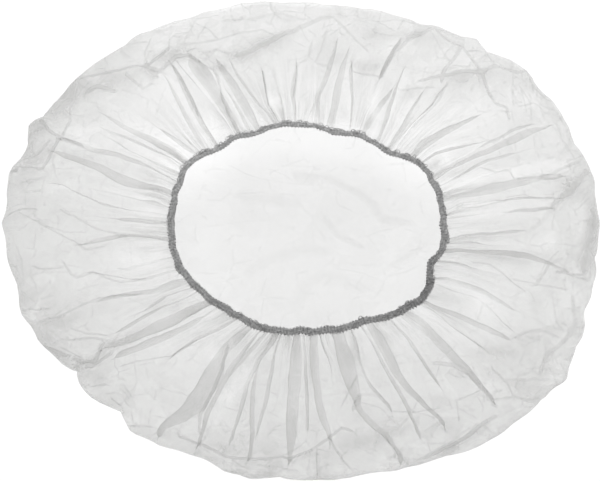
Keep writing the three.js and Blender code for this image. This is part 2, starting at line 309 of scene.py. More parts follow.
def foldNoise(way, seed, pace, apart, size):
    return size * noiseRow([(apart * i, pace * way) for i in range(foldCount)], seed)


# Where the middle of each fold lies at this way from rim to elastic, and how wide the fold is there
def foldsAt(way):
    s = filmShape
    centre, width = np.zeros(foldCount), np.zeros(foldCount)
    nearby = np.clip(way + s["foldSoftening"] * np.array([-1, 0, 1]), 0, 1)
    for i, stations in enumerate(s["folds"]):
        ways, seen, wide = np.array(stations, float)[::-1].T
        ways = np.concatenate([[ways[0] - s["tipFade"]], ways, [ways[-1] + s["tipFade"]]])
        centre[i] = np.interp(nearby, ways[1:-1], onFloor(seen)).mean()
        width[i] = np.interp(nearby, ways, [0, *wide, wide[-1] if ways[-2] == 1 else 0]).mean()
    for wander in s["foldWander"]:
        centre += foldNoise(way, *wander)
    width *= 1 + foldNoise(way, *s["widthWander"])
    for i in range(1, foldCount):
        centre[i] = max(centre[i], centre[i - 1] + s["leastStep"])
    return centre, np.maximum(width, 0)


turnShare = np.sin(np.pi * midSteps(turnColumns)) ** filmShape["turnEase"]
turnBack = np.maximum(-np.cos(np.pi * turnShare), 0).mean()


# A column's step runs back where a fold turns over, so the film lies three deep there
def ringBearings(way):
    s = filmShape
    centre, width = foldsAt(way)
    opening = smooth(0, s["openWidth"], width)
    unfolded = s["unfolded"] + s["unfoldedAtRim"] * (1 - smooth(0, s["unfoldedBy"], way))
    onward = (np.roll(centre, -1) - centre) % 360
    breadth = np.maximum(width, unfolded) / (turnBack * turnColumns)
    turn = breadth[:, None] * np.cos(np.pi * np.outer(opening, turnShare))
    gap = (onward + 0.5 * (width + np.roll(width, -1))) / gapColumns
    step = np.hstack([turn, np.repeat(gap[:, None], gapColumns, 1)]).ravel()
    reach = np.concatenate([[0], np.cumsum(step)])
    half = 0.5 * (reach[:-1] + reach[1:])
    bearing = np.zeros(columns)
    for i in range(foldCount):
        a, b = middleColumn[i], middleColumn[(i + 1) % foldCount]
        span = half[b] - half[a] if i + 1 < foldCount else half[b] + reach[-1] - half[a]
        picks = np.arange(a, a + perFold) % columns
        along = half[picks] - half[a]
        along[picks < a] += reach[-1]
        bearing[picks] = centre[i] + along * onward[i] / span
    return bearing


def ringLift(way):
    s = filmShape
    width = foldsAt(way)[1]
    size = s["liftLeast"] + s["liftMore"] * np.tanh(width / s["liftWidth"])
    size = size * smooth(0, s["openWidth"], width)
    climb = smooth(*s["climb"], midSteps(turnColumns))
    rising = smooth(1 - s["liftRun"], 1, midSteps(gapColumns))
    falling = 1 - smooth(0, s["liftRun"], midSteps(gapColumns))
    height = np.zeros(columns)
    for i in range(foldCount):
        start = i * perFold
        turn = slice(start, start + turnColumns)
        if foldLean[i] > 0:
            height[turn] += size[i] * (1 - climb)
            height[np.arange(start - gapColumns, start) % columns] += size[i] * rising
        else:
            height[turn] += size[i] * climb
            height[start + turnColumns:start + perFold] += size[i] * falling
    return height


# Small gathers close to the elastic, each with its own length
gathers = {
    "waves": [(70, 0.6), (118, 0.9), (171, 0.7)],  # cycles round the cap, weight
    "height": 0.95,
    "shortest": 0.22,
    "longer": 0.4,
    "fullFrom": 0.3,  # share of its length at which a gather stands up fully
    "seed": 5,
}


def gatherWaves(way):
    g = gathers
    rng = np.random.default_rng(g["seed"])
    place = ringBearings(0) / 360
    wave = np.zeros(columns)
    for cycles, weight in g["waves"]:
        start = rng.uniform(0, 2 * np.pi)
        length = g["shortest"] + g["longer"] * rng.random(foldCount)[foldOf]
        shown = smooth(1 - length, 1 - g["fullFrom"] * length, way)
        wave += weight * np.sin(2 * np.pi * cycles * place + start) * shown
    return g["height"] * wave


# Crumple all over the film, as ridges of warped noise
crumples = {
    "large": (34, 3.1), "small": (13, 8.7),  # scale, seed
    "drift": (1, -2.3, 0), "warp": 0.6, "warpScale": 0.7,
    "coarse": 0.65, "fine": 0.35, "fineScale": 2.1, "fineWarp": 1.7, "fineOffset": (7.1, 3.3, 1.9),
    # heights, and the levels taken away so that the skirt doesn't rise as a whole
    "crown": 1.2, "crownRim": 1.4, "crownRimFrom": 0.75,
    "skirt": 4.2, "skirtLevel": 0.22, "skirtFine": 1.3, "fineLevel": 0.2,
}


def crumple(point, scale, seed):
    c = crumples
    p = Vector(point) / scale + Vector([seed * d for d in c["drift"]])
    warp = noise.noise_vector(p * c["warpScale"]) * c["warp"]
    coarse = abs(noise.noise(p + warp))
    fine = abs(noise.noise(p * c["fineScale"] + warp * c["fineWarp"] + Vector(c["fineOffset"])))
    return c["coarse"] * coarse + c["fine"] * fine


def filmSwell(points, inCrown):
    c = crumples
    rough = np.array([crumple(p, *c["large"]) for p in points])
    fine = np.array([crumple(p, *c["small"]) for p in points])
    crown = (c["crown"] + c["crownRim"] * smooth(c["crownRimFrom"], 1, rimShare(points))) * rough
    skirt = c["skirt"] * (rough - c["skirtLevel"]) + c["skirtFine"] * (fine - c["fineLevel"])
    return np.where(inCrown, crown, skirt)


# Every ring's points, with the place of each on the flat disc and the way that creases push it
def filmRings():
    s = filmShape
    points, flat, outward = [np.zeros((1, 3))], [np.zeros((1, 2))], [np.array([[0, 0, 1.0]])]
    base = ringBearings(0)
    whole = np.append(np.unwrap(base, period=360), base[0] + 360)
    rimFlat = capShape["rimHalfDepth"] + s["rimTurn"]
    skirtFlat = s["flatDiameter"] / 2 - rimFlat

    def addRing(plan, height, flatReach, bearing, upright):
        points.append(np.column_stack([plan, np.broadcast_to(height, len(plan))]))
        flat.append(flatReach * towards(bearing))
        outward.append(unit(np.column_stack([unit(plan) * (1 - upright), np.full(len(plan), upright)])))

    for reach, height, share in s["crownRings"]:
        count = round(columns / share)
        bearing = np.interp(np.arange(count) * columns / count, np.arange(columns + 1), whole)
        upright = 1 - smooth(s["turnFrom"], 1, reach)
        addRing(rimLine(bearing) * reach, height, rimFlat * reach, bearing, upright)
    heights = np.interp(skirtWays, *np.array(s["skirtProfile"], float).T)
    for way, height in zip(skirtWays, heights):
        bearing = ringBearings(way)
        plan = rimLine(bearing) * (1 - way) + mouthLine(bearing, s["edgeInside"]) * way
        calm = 1 - s["calm"] * smooth(*s["calmWays"], way)
        lift = ringLift(way) * calm + gatherWaves(way) * (s["calmGathers"] + (1 - s["calmGathers"]) * calm)
        addRing(plan, height + lift, rimFlat + skirtFlat * way, base, smooth(0, s["levelBy"], way))
    return points, flat, outward


def stitchRings(first, second, a, b):
    faces = []
    i = j = 0
    while i < a or j < b:
        if j >= b or (i < a and (i + 1) / a <= (j + 1) / b):
            faces.append((first + i % a, first + (i + 1) % a, second + j % b))
            i += 1
        else:
            faces.append((first + i % a, second + (j + 1) % b, second + j % b))
            j += 1
    return faces


def filmFaces(counts):
    starts = 1 + np.concatenate([[0], np.cumsum(counts)[:-1]])
    faces = [(0, int(starts[0] + (k + 1) % counts[0]), int(starts[0] + k)) for k in range(counts[0])]
    for r in range(len(counts) - 1):
        a, b, s, t = counts[r], counts[r + 1], int(starts[r]), int(starts[r + 1])
        if a == b:
            faces += [(s + k, s + (k + 1) % a, t + (k + 1) % a, t + k) for k in range(a)]
        else:
            faces += stitchRings(s, t, a, b)
    return faces


# Sharp creases from packing: rise of the ridge, half breadth of its mark, strength, points in the picture
creases = {
    "reach": 8,  # how far the film leans up to a ridge
    "mostRise": 1.5,
    "evenFrom": 0.85, "evenParts": 24,  # rings past this share of the way to the rim keep their outline
    "sets": 4,
    "unmarked": 99.0,
    "markReach": 7, "smallMarkReach": 3.6, "endReach": 2.4,
    "keptReach": 2, "markSlope": 1.5,  # in shares of a mark's reach
    "drawn": [
        (1.8, 0.5, 0.9, ((180, 439), (204, 445), (228, 455), (256, 459), (287, 459), (306, 452),
            (330, 440), (343, 431), (353, 431))),
        (1, 0.4, 0.6, ((232, 456), (239, 466), (249, 466))),
        (-1, 0.5, 0.6, ((315, 447), (318, 477))),
        (1.2, 0.4, 0.7, ((330, 440), (336, 453), (355, 466))),
        (1.4, 0.6, 0.7, ((383, 442), (400, 461))),
        (1.6, 0.8, 0.9, ((424, 457), (447, 448), (464, 437), (480, 427), (497, 417))),
        (0.8, 0.4, 0.5, ((357, 376), (351, 389), (341, 403))),
        (-1.4, 0.9, 0.9, ((358, 394), (354, 407))),
        (0.8, 0.4, 0.4, ((257, 462), (298, 470))),
        (1.4, 0.5, 0.7, ((72, 112), (70, 125))),
        (2, 0.6, 1, ((71, 125), (62, 139), (52, 153), (42, 168), (39, 172))),
        (1.6, 0.6, 0.9, ((41, 124), (50, 132), (62, 139), (80, 146))),
        (1.4, 0.5, 0.8, ((11, 172), (40, 171))),
        (-1.2, 0.5, 0.6, ((24, 160), (40, 153), (49, 140))),
        (1, 0.4, 0.5, ((30, 137), (41, 130))),
        (1.4, 0.5, 0.7, ((5, 219), (23, 211), (36, 211))),
        (1, 0.5, 0.6, ((38, 222), (54, 234), (85, 248), (103, 245))),
        (1, 0.5, 0.6, ((64, 212), (75, 218), (103, 231), (127, 236))),
        (-1, 0.4, 0.5, ((19, 181), (40, 178))),
        (1.2, 0.4, 0.7, ((34, 267), (41, 271), (60, 271))),
        (1.4, 0.5, 0.7, ((62, 264), (69, 276), (77, 279), (92, 273), (121, 281), (144, 283))),
        (1.4, 0.5, 0.7, ((23, 310), (47, 309))),
        (1.2, 0.5, 0.6, ((38, 323), (61, 317), (100, 299), (140, 296))),
        (-1, 0.4, 0.6, ((75, 328), (89, 334), (106, 336))),
        (1.2, 0.5, 0.8, ((66, 342), (89, 338), (102, 341))),
        (2, 0.8, 1, ((43, 347), (61, 355), (82, 362), (96, 362), (102, 346))),
        (-1, 0.4, 0.6, ((61, 348), (82, 357))),
        (1.6, 0.6, 0.9, ((75, 368), (94, 366), (111, 357))),
        (1.2, 0.5, 0.7, ((82, 384), (105, 386))),
        (1, 0.4, 0.5, ((124, 385), (131, 397))),
        (1.2, 0.4, 0.6, ((115, 401), (124, 412))),
        (1.2, 0.5, 0.6, ((130, 424), (153, 430))),
        (1, 0.4, 0.5, ((125, 366), (153, 359), (170, 359), (200, 342))),
        (0.6, 0.6, 0.8, ((227, 349), (222, 370), (214, 391), (206, 405), (201, 418), (199, 431))),
        (1, 0.4, 0.6, ((473, 262), (489, 266), (506, 277), (522, 291))),
        (-1, 0.4, 0.5, ((512, 277), (538, 283), (567, 290))),
        (1.4, 0.7, 0.6, ((535, 285), (552, 265), (563, 258))),
        (1.4, 0.5, 0.9, ((557, 272), (570, 276), (584, 274))),
        (-1, 0.4, 0.7, ((576, 277), (589, 281))),
        (1.6, 2.6, 0.8, ((590, 222), (586, 244), (583, 262), (584, 273))),
        (1.6, 0.9, 0.8, ((574, 297), (573, 309), (570, 328), (560, 342), (548, 356), (538, 373))),
        (1.2, 0.6, 0.6, ((514, 339), (528, 335), (540, 332), (556, 337))),
        (1, 0.4, 0.6, ((494, 370), (506, 387), (512, 396))),
        (1.2, 0.5, 0.6, ((496, 399), (512, 396), (538, 397))),
        (1.4, 0.9, 0.7, ((431, 364), (451, 369), (469, 373), (479, 387), (493, 404))),
        (1, 0.4, 0.5, ((456, 401), (459, 419))),
        (1, 0.4, 0.5, ((482, 393), (455, 401))),
        (-1.2, 0.6, 0.5, ((506, 379), (536, 378), (551, 380))),
        (1, 0.4, 0.4, ((550, 303), (558, 322), (563, 332))),
        (1.6, 0.6, 0.8, ((481, 73), (491, 94), (496, 103), (505, 107), (509, 119))),
        (0.8, 0.35, 0.5, ((513, 79), (512, 104))),
        (0.8, 0.35, 0.4, ((521, 87), (526, 111))),
        (1.2, 0.4, 0.8, ((526, 72), (535, 92))),
        (1, 0.4, 0.6, ((533, 87), (544, 98), (554, 102))),
        (1.2, 0.6, 0.5, ((557, 125), (561, 138), (573, 157))),
        (1.4, 0.8, 0.8, ((580, 161), (556, 173), (541, 178))),
        (2, 1.4, 0.9, ((585, 171), (569, 192), (557, 205), (551, 212))),
        (1.2, 1, 0.45, ((551, 212), (544, 219), (535, 230))),
        (1, 0.4, 0.6, ((484, 170), (496, 174), (506, 172), (519, 180), (535, 177), (555, 179))),
        (1, 0.4, 0.6, ((449, 213), (458, 207), (475, 208), (500, 204), (518, 199), (550, 201))),
        (-1, 0.4, 0.4, ((511, 212), (523, 211), (552, 211))),
        (1.6, 0.9, 0.7, ((381, 78), (394, 55), (409, 40), (431, 31), (446, 31))),
        (1.6, 0.7, 0.8, ((439, 34), (451, 43), (462, 49), (474, 61), (481, 73))),
        (1.4, 0.8, 0.8, ((462, 49), (454, 60), (445, 71), (440, 83))),
        (0.8, 0.4, 0.6, ((467, 54), (481, 51))),
        (1.8, 0.8, 0.8, ((422, 82), (436, 79), (451, 76), (463, 72), (481, 73), (496, 69), (514, 71),
            (525, 71))),
        (1, 0.4, 0.7, ((488, 55), (496, 69))),
        (1.2, 0.5, 0.6, ((448, 87), (439, 101), (422, 119), (403, 135))),
        (0.8, 0.5, 0.4, ((402, 92), (431, 91))),
        (1.6, 0.9, 0.8, ((86, 94), (97, 87), (117, 88))),
        (2, 0.6, 0.9, ((82, 82), (109, 77), (131, 73), (147, 68), (163, 57), (168, 49))),
        (1, 0.4, 0.6, ((168, 49), (170, 40), (176, 34), (187, 32))),
        (1, 0.4, 0.6, ((118, 53), (145, 44))),
        (2, 1, 0.9, ((145, 69), (158, 73), (170, 65), (176, 57), (192, 55), (200, 61))),
        (1.4, 0.6, 0.8, ((200, 61), (213, 69), (217, 78), (222, 98), (230, 115))),
        (1, 0.5, 0.6, ((170, 65), (182, 80), (189, 98), (198, 115))),
        (1.2, 0.6, 0.6, ((124, 79), (134, 85), (144, 92), (152, 85))),
        (0.8, 0.4, 0.5, ((195, 23), (192, 30), (184, 44))),
        (0.8, 0.4, 0.5, ((197, 25), (209, 31), (216, 40), (223, 39), (240, 34))),
        (1, 0.5, 0.5, ((203, 54), (215, 50), (232, 53))),
        (1.4, 2.4, 0.5, ((214, 70), (225, 68))),
        (1.8, 1.2, 0.7, ((239, 57), (258, 46), (281, 38), (293, 35), (319, 21), (330, 18))),
        (1, 0.5, 0.5, ((330, 18), (343, 25), (356, 41), (364, 49))),
        (1, 0.9, 0.4, ((225, 22), (255, 22), (279, 16), (293, 18))),
        (0.8, 0.4, 0.8, ((263, 72), (266, 91), (269, 105))),
        (1.2, 3.4, 0.45, ((356, 69), (377, 68))),
        (1.2, 0.6, 0.5, ((382, 78), (389, 61), (400, 46))),
        (1, 0.5, 0.6, ((351, 62), (354, 74), (368, 77), (382, 78))),
        (0.8, 0.5, 0.45, ((325, 30), (320, 48), (315, 61), (327, 68))),
        (0.8, 0.5, 0.45, ((311, 45), (308, 55), (304, 62), (297, 66), (297, 80), (292, 97))),
        (0.8, 0.5, 0.5, ((181, 46), (199, 43), (216, 40))),
        (0.8, 0.5, 0.45, ((240, 34), (262, 31), (280, 36))),
    ],
    # the same for soft waves of the crown, seen through the mouth
    "crownDrawn": [
        (0.6, 2.2, 0.3, ((296, 179), (325, 181), (356, 191), (369, 208), (383, 221), (407, 224))),
        (0.5, 1.6, 0.3, ((325, 222), (340, 235), (357, 246))),
        (0.5, 3, 0.18, ((249, 269), (263, 266), (281, 257), (303, 251), (321, 250))),
        (0.4, 3.2, 0.14, ((292, 304), (305, 290), (321, 278), (343, 284), (365, 289))),
        (0.4, 1.5, 0.2, ((392, 267), (419, 250))),
        (0.4, 3.4, 0.2, ((243, 196), (273, 201), (300, 205))),
        (0.4, 0.8, 0.2, ((391, 168), (418, 163))),
    ],
    # seeded small creases over the rest of the film, likelier towards the rim
    "scattered": 380, "seed": 11, "length": (5, 24), "bend": 0.4, "rise": (0.4, 1.2),
    "breadth": (0.25, 0.5), "strength": (0.15, 0.45), "crownStrength": 0.4,
    "crownOdds": 0.5, "crownSpread": (60, 130), "skirtSpread": (95, 140), "skirtPower": 1.5,
}


# How far each point lies from a crease, on which side of it, and whether it lies past one of its ends
def creaseAway(points, outward, line):
    nearest = np.full(len(points), np.inf)
    side = np.zeros(len(points))
    past = np.zeros(len(points), bool)
    for k, (a, b) in enumerate(zip(line[:-1], line[1:])):
        step = b - a
        share = (points - a) @ step / max(step @ step, 1e-6)  # two picks can fall on one point
        away = points - a - np.clip(share, 0, 1)[:, None] * step
        far = np.linalg.norm(away, axis=1)
        closer = far < nearest
        nearest[closer] = far[closer]
        side[closer] = np.sign((np.cross(step, outward) * away).sum(1))[closer]
        past[closer] = ((k == 0) & (share < 0) | (k == len(line) - 2) & (share > 1))[closer]
    return nearest, side, past


def nearestTo(spot, places):
    return np.argmin(((places - spot) ** 2).sum(1))


def creaseLines(points, crownCount):
    c = creases
    crown, skirt = points[:crownCount], points[crownCount:]
    lines = []
    for layer, drawn in ((skirt, c["drawn"]), (crown, c["crownDrawn"])):
        seen = inPicture(layer)
        for rise, breadth, strength, picks in drawn:
            near = [nearestTo(p, seen) for p in np.array(picks, float)]
            lines.append((rise, breadth, strength, c["markReach"], layer[near]))
    rng = np.random.default_rng(c["seed"])
    reach = np.hypot(points[:, 0], points[:, 1])
    inCrown = np.arange(len(points)) < crownCount
    crownOdds = c["crownOdds"] + smooth(*c["crownSpread"], reach)
    odds = np.where(inCrown, crownOdds, smooth(*c["skirtSpread"], reach) ** c["skirtPower"])
    for start in rng.choice(len(points), c["scattered"], p=odds / odds.sum()):
        turn, length, bend = rng.uniform(0, 2 * np.pi), rng.uniform(*c["length"]), rng.normal(0, c["bend"])
        pool = crown if inCrown[start] else skirt
        line = [points[start]]
        for heading in (turn, turn + bend):
            aim = line[-1] + 0.5 * length * np.array([np.cos(heading), np.sin(heading), 0])
            line.append(pool[nearestTo(aim, pool)])
        rise = rng.uniform(*c["rise"]) * (1 if inCrown[start] else rng.choice([-1, 1]))
        breadth = rng.uniform(*c["breadth"])
        strength = rng.uniform(*c["strength"]) * (c["crownStrength"] if inCrown[start] else 1)
        lines.append((rise, breadth, strength, c["smallMarkReach"], np.array(line)))
    return lines


# Crease marks are kept in a few sets, so that each point's distances belong to one line in a set
def creaseFilm(points, outward, crownCount):
    c = creases
    lift = np.zeros(len(points))
    across = np.full((c["sets"], len(points)), c["unmarked"])
    broad = np.ones_like(across)
    weight = np.zeros_like(across)
    for rise, breadth, strength, reach, line in creaseLines(points, crownCount):
        away, side, past = creaseAway(points, outward, line)
        lift += rise * np.clip(1 - away / c["reach"], 0, 1)
        near = away < c["keptReach"] * reach
        freest = np.argmin((across[:, near] < c["unmarked"]).sum(1))
        take = near & (away < np.abs(across[freest]))
        hold = np.clip(c["markSlope"] - c["markSlope"] * away / reach, 0, 1)
        hold[past] *= np.clip(1 - away[past] / c["endReach"], 0, 1)
        across[freest, take] = (side * away)[take]
        broad[freest, take] = breadth
        weight[freest, take] = strength * hold[take]
    return c["mostRise"] * np.tanh(lift / c["mostRise"]), across, broad, weight


# Takes the broad swell out of a ring's crease rise, so that the rim keeps its outline
def evenRing(values):
    span = len(values) // creases["evenParts"]
    wrapped = np.concatenate([values[-span:], values, values[:span]])
    return values - np.convolve(wrapped, np.ones(2 * span + 1) / (2 * span + 1), "valid")


# How milky the film looks: more where the rim is crumpled, less in the panels between folds. It also
# carries painted light and shade: darker towards the front of the rim, clearer at the back of the folds and
# of the crown, as the lamp behind would make them
hazeAndPaintedLight = {
    "crown": 1.5, "skirt": 0.93, "least": 0.15,
    "rim": -0.5, "rimReach": 0.55, "rimPower": 1.5,
    # painted shade: the rim is made milkier, so darker, towards its front, away from the lamp behind, and
    # clearer at its back
    "rimFrontPaintedShade": 1.0, "paintedShadeBearing": 245, "paintedShadeSpread": 0.6,
    "patches": 0.16, "patchScale": 38, "patchSeed": 6.6,
    # narrow and broad pleats: blur over columns, how milky, the least, ways where they start and are full
    "pleats": [((0.25, 0.5, 0.25), 0.9, -0.4, 0.58, 1), (np.hanning(13) / 3.2, 0.45, -0.3, 0.33, 0.9)],
    "pleatSeed": 31,
    # painted sheen: the crown is made clearest at the back of the mouth, standing in for the sheen of the
    # lamp behind; it is also clearer towards its sides, by the way out from its middle
    "backOfCrownPaintedSheen": 0.8, "sheenFrom": (10, 62),
    "crownSides": 0.45, "sidesFrom": (25, 55), "sidesEnd": (80, 105),
    # where small gathers and crumpled facets show, by the way to the elastic and to the rim
    "gatheredWays": (0.3, 0.95), "crumpledCrown": 0.3, "crumpledSkirt": 0.35, "crumpledRim": 0.65,
    "crumpledFrom": (0.62, 0.96),
    "foldBackPaintedLight": 0.28,  # painted light: folds are made clearer at the back, standing in for the light that comes through them
    # shares from each edge of a fold inwards, and the widths over which they come in
    "crispEdge": (1.05, 1.15, 1.15), "softEdge": (0.75, 0.5, 0.6, 0.85, 1.05), "edgeWidths": (0.3, 1),
    # tucks where the film lies folded on itself: how milky, then corners in the picture
    "tuckBlur": 1.3,
    "tucks": [
        (0.8, ((30, 123), (41, 121), (52, 133), (62, 139), (52, 153), (40, 170), (12, 172), (22, 152),
            (28, 137))),
        (0.8, ((78, 98), (97, 86), (118, 85), (120, 90), (98, 92), (84, 99))),
        (2, ((140, 68), (150, 67), (157, 76), (152, 81), (145, 76))),
        (0.35, ((80, 92), (98, 80), (131, 72), (147, 66), (140, 74), (118, 85), (97, 87))),
        (0.6, ((232, 59), (243, 54), (254, 44), (270, 37), (288, 34), (303, 29), (282, 41), (265, 50),
            (248, 59), (244, 65))),
        (0.35, ((225, 22), (281, 15), (309, 21), (303, 23), (266, 24), (229, 23))),
        (0.6, ((212, 65), (223, 62), (234, 70), (218, 73))),
        (0.5, ((353, 63), (376, 57), (388, 65), (382, 78), (355, 75))),
        (0.6, ((391, 56), (398, 47), (411, 40), (429, 31), (417, 29), (402, 41), (389, 54), (383, 73))),
        (0.45, ((439, 82), (454, 73), (481, 71), (517, 71), (525, 72), (497, 74), (480, 74), (468, 84),
            (453, 83))),
        (0.35, ((542, 111), (555, 108), (559, 131), (553, 136), (555, 121))),
        (0.5, ((573, 165), (581, 159), (590, 168), (595, 190), (597, 208), (591, 213), (585, 200),
            (576, 188), (556, 179))),
        (0.8, ((587, 170), (573, 186), (560, 202), (551, 215), (547, 215), (553, 203), (567, 190),
            (577, 175))),
        (0.8, ((591, 208), (597, 209), (598, 226), (596, 245), (592, 262), (586, 272), (581, 274),
            (586, 241), (590, 228))),
        (0.3, ((569, 275), (590, 278), (595, 284), (583, 306), (582, 329), (574, 323), (572, 306),
            (579, 288))),
        (0.35, ((558, 322), (576, 323), (581, 337), (572, 361), (564, 378), (553, 369), (562, 347),
            (568, 334))),
        (0.5, ((484, 348), (506, 348), (531, 359), (529, 362), (510, 358), (492, 352))),
        (0.4, ((512, 338), (534, 333), (553, 340), (541, 340), (520, 345))),
        (0.4, ((432, 368), (459, 372), (475, 385), (464, 379), (447, 373))),
        (0.3, ((503, 379), (534, 378), (546, 389), (540, 397), (513, 395), (506, 388))),
        (0.7, ((422, 455), (447, 446), (460, 438), (478, 428), (496, 418), (487, 428), (464, 442),
            (453, 452), (440, 458))),
        (0.35, ((380, 418), (388, 416), (408, 417), (405, 430), (388, 431), (380, 430))),
        (0.7, ((380, 430), (393, 439), (398, 452), (411, 460), (402, 462), (391, 453), (383, 442))),
        (0.4, ((331, 448), (361, 442), (386, 442), (390, 452), (358, 451))),
        (0.6, ((315, 449), (320, 449), (320, 478), (317, 478))),
        (0.5, ((271, 462), (299, 471), (279, 473))),
        (0.5, ((193, 442), (227, 443), (243, 452), (232, 456))),
        (0.45, ((129, 425), (141, 424), (155, 428), (171, 431), (177, 438), (148, 440), (131, 430))),
        (0.35, ((79, 384), (95, 384), (107, 392), (119, 405), (125, 413), (119, 409), (107, 402),
            (92, 392))),
        (0.5, ((75, 367), (88, 371), (105, 373), (105, 385), (95, 384), (80, 383), (78, 377))),
        (0.8, ((84, 361), (98, 354), (102, 341), (117, 338), (114, 348), (107, 357), (97, 366), (81, 367),
            (73, 368))),
        (0.5, ((43, 345), (58, 354), (83, 360), (95, 362), (94, 366), (78, 367), (71, 369), (62, 363))),
        (0.45, ((34, 323), (50, 318), (72, 316), (78, 322), (61, 328), (55, 339), (50, 343), (41, 338),
            (35, 335))),
    ],
    # milkier and clearer panels: middle, half length, half breadth and turn in the picture, then how milky
    "panelStrength": 2.1,
    "panels": [
        (244, 338, 10, 7, -45, 0.85), (285, 343, 9, 9, 0, 0.85), (497, 356, 26, 14, 0, 0.7),
        (375, 437, 34, 8, -18, 0.75), (430, 405, 35, 22, 0, 0.35), (445, 428, 20, 8, 0, 0.3),
        (490, 256, 42, 6, 5, 0.95), (172, 57, 18, 7, -12, 1.4), (122, 82, 32, 8, -18, 0.6),
        (56, 112, 34, 7, -48, 0.7), (268, 42, 28, 8, -12, 0.8), (240, 57, 14, 7, 0, 0.8),
        (495, 236, 36, 6, -6, 0.4), (548, 246, 14, 7, 0, -0.5), (50, 188, 20, 8, 10, -0.4),
        (470, 78, 28, 8, 0, 0.45), (572, 193, 12, 8, 30, 0.7), (587, 262, 10, 10, 0, 0.7),
        (344, 110, 12, 6, 90, 0.45), (374, 35, 10, 12, 0, 0.3), (410, 95, 12, 6, -15, 0.4),
        (75, 157, 20, 6, 5, 0.35), (120, 168, 25, 6, 18, 0.4), (155, 190, 14, 7, 35, 0.4),
        (58, 217, 20, 9, 0, 0.3), (128, 337, 24, 7, -30, 0.5), (75, 318, 14, 7, -15, 0.3),
        (558, 280, 18, 8, -70, 0.25), (315, 428, 14, 8, 90, 0.35), (275, 455, 20, 10, 0, 0.25),
        (207, 402, 22, 7, -60, 0.15), (345, 352, 18, 10, 35, 0.5), (182, 308, 34, 8, 5, 0.5),
        (310, 370, 28, 6, 90, 0.3), (140, 238, 20, 6, 0, 0.5), (358, 405, 12, 10, 0, 0.25),
        (455, 372, 26, 7, 40, 0.25), (445, 160, 8, 7, 0, -0.35), (470, 182, 30, 6, -12, -0.55),
        (538, 170, 28, 8, -8, -0.75), (490, 213, 50, 7, -5, -0.3), (450, 275, 18, 10, 10, -0.6),
        (480, 300, 28, 10, 25, -0.4), (140, 110, 50, 14, 20, -0.2), (92, 138, 22, 12, 0, -0.6),
        (208, 138, 10, 8, -45, -0.1), (140, 259, 30, 12, 0, -0.6), (75, 275, 40, 18, 0, -0.3),
        (374, 112, 22, 8, 90, -0.6), (310, 122, 10, 10, 0, -0.45), (274, 103, 12, 8, 20, -0.5),
        (312, 86, 9, 10, 0, -0.25), (345, 131, 26, 6, 4, -0.8), (355, 322, 12, 6, 0, -0.5),
        (150, 217, 16, 12, 0, -0.3), (435, 65, 55, 38, 25, 0.3), (160, 118, 24, 14, 0, 0.25),
        (208, 60, 10, 16, 0, 0.4), (432, 370, 16, 14, 0, 0.4), (468, 438, 20, 8, -30, 0.5),
        (425, 442, 16, 6, 0, 0.25), (460, 172, 18, 5, -25, 0.45), (592, 218, 5, 10, 0, 0.9),
        (210, 90, 14, 12, 20, -0.15), (180, 28, 25, 7, -15, -0.3), (212, 352, 12, 8, 90, -0.4),
        (240, 382, 28, 8, -55, -0.75), (215, 325, 18, 6, -20, -0.3), (420, 322, 14, 12, 90, -0.35),
        (398, 345, 14, 6, 60, -0.3), (330, 385, 25, 8, 90, -0.2), (365, 375, 22, 8, 90, -0.25),
        (530, 395, 15, 6, -30, -0.3), (493, 427, 12, 8, 90, -0.25), (520, 100, 18, 10, -10, -0.2),
        (472, 50, 16, 8, 35, 0.15), (432, 113, 20, 9, -30, 0.25), (375, 32, 16, 12, 0, 0.3),
        (415, 36, 30, 10, 14, 0.4), (470, 80, 20, 14, 0, 0.3), (530, 85, 20, 8, 30, 0.2),
        (230, 12, 25, 8, -8, -0.25), (34, 320, 15, 9, 55, -0.5), (87, 387, 18, 9, 50, -0.7),
        (130, 424, 26, 8, 38, -0.4), (165, 444, 14, 7, 20, -0.25), (574, 335, 32, 9, -70, -0.5),
        (552, 386, 26, 8, -48, -0.4), (498, 430, 22, 8, -35, -0.1), (235, 468, 30, 7, 10, -0.3),
        (345, 472, 30, 7, -5, -0.3), (24, 150, 12, 10, 0, 0.35), (258, 134, 26, 6, -8, 0.3),
        (565, 185, 10, 12, 0, 0.25), (160, 253, 10, 8, 0, -0.5), (290, 330, 10, 7, 0, 0.35),
        (400, 430, 10, 8, 0, 0.25), (395, 462, 14, 6, -10, -0.45), (122, 415, 24, 8, 45, -0.2),
        (135, 128, 40, 10, 8, -0.2), (480, 312, 24, 7, 20, -0.25), (265, 132, 26, 6, -5, 0.25),
        (492, 374, 10, 9, 0, 0.5), (332, 52, 20, 16, 0, 0.35), (450, 95, 24, 10, 0, 0.25),
        (68, 88, 14, 9, -50, 0.45), (105, 85, 14, 7, -20, 0.2), (300, 85, 130, 28, 0, 0.05),
        (110, 210, 60, 75, 0, -0.05), (18, 205, 16, 30, 0, 0.15),
    ],
}


def insideTuck(spots, corners):
    x, y = spots.T
    inside = np.zeros(len(spots), bool)
    for (a, v), (b, w) in zip(corners, corners[1:] + corners[:1]):
        if v != w:
            inside ^= ((v > y) != (w > y)) & (x < a + (b - a) * (y - v) / (w - v))
    return inside


